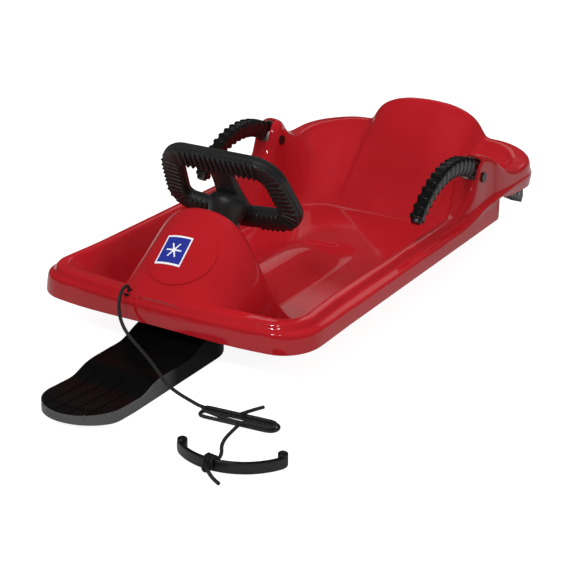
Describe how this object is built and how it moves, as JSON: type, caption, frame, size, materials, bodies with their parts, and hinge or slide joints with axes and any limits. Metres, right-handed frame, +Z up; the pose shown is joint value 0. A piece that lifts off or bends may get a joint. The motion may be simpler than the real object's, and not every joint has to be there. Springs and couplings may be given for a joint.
{
  "type": "steering sled",
  "caption": "Red plastic steering sled with a black steering wheel and front ski, hand brakes and a tow rope with bar",
  "frame": {"origin": "on the floor under the middle of the sled's bounding box, tow rope left out", "axes": "+X to the rider's left, +Y to the back, +Z up; the ski points to -Y"},
  "size_m": [0.5833, 1.2154, 0.2976],
  "materials": {
    "red_moulding": "glossy blow-moulded red",
    "black_moulding": "satin black",
    "steel": "zinc plated",
    "black_cord": "braided black cord",
    "label": "printed film, plain motif",
    "nylon": "natural nylon"
  },
  "bodies": {
    "sled": {"tub": "red_moulding", "front_label": "label", "upper_bush": "nylon", "lower_bush": "nylon", "rope_hank": "black_cord", "tow_rope": "black_cord", "rope_lead": "black_cord", "rope_tail": "black_cord", "rope_loose_end": "black_cord", "rope_knot": "black_cord", "bar_knot": "black_cord", "tow_bar": "black_moulding", "brake_pin_left": "black_moulding", "brake_spacer_left": "nylon", "brake_spring_left": "steel", "brake_pin_right": "black_moulding", "brake_spacer_right": "nylon", "brake_spring_right": "steel"},
    "steering": {"steering_wheel": "black_moulding", "wheel_bolt": "steel", "wheel_nut": "steel", "steering_shaft": "steel", "thrust_washer": "steel", "ski": "black_moulding", "ski_bolt": "steel", "ski_nut": "steel"},
    "brake_left": {"brake_arm_left": "steel", "brake_grip_left": "black_moulding", "brake_claw_left": "black_moulding", "claw_rivets_left": "steel"},
    "brake_right": {"brake_arm_right": "steel", "brake_grip_right": "black_moulding", "brake_claw_right": "black_moulding", "claw_rivets_right": "steel"}
  },
  "joints": [
    {"name": "steering_column", "type": "hinge", "parent": "sled", "child": "steering", "pos_m": [0, -0.1715, 0.178], "axis": [0, 0.5, 0.866], "range_deg": [-20, 20]},
    {"name": "brake_left_pivot", "type": "hinge", "parent": "sled", "child": "brake_left", "pos_m": [0.214, 0.3145, 0.159], "axis": [-1, 0, 0], "range_deg": [0, 18], "stiffness_Nm_per_rad": 2, "springref_deg": -20.05},
    {"name": "brake_right_pivot", "type": "hinge", "parent": "sled", "child": "brake_right", "pos_m": [-0.214, 0.3145, 0.159], "axis": [-1, 0, 0], "range_deg": [0, 18], "stiffness_Nm_per_rad": 2, "springref_deg": -20.05}
  ]
}
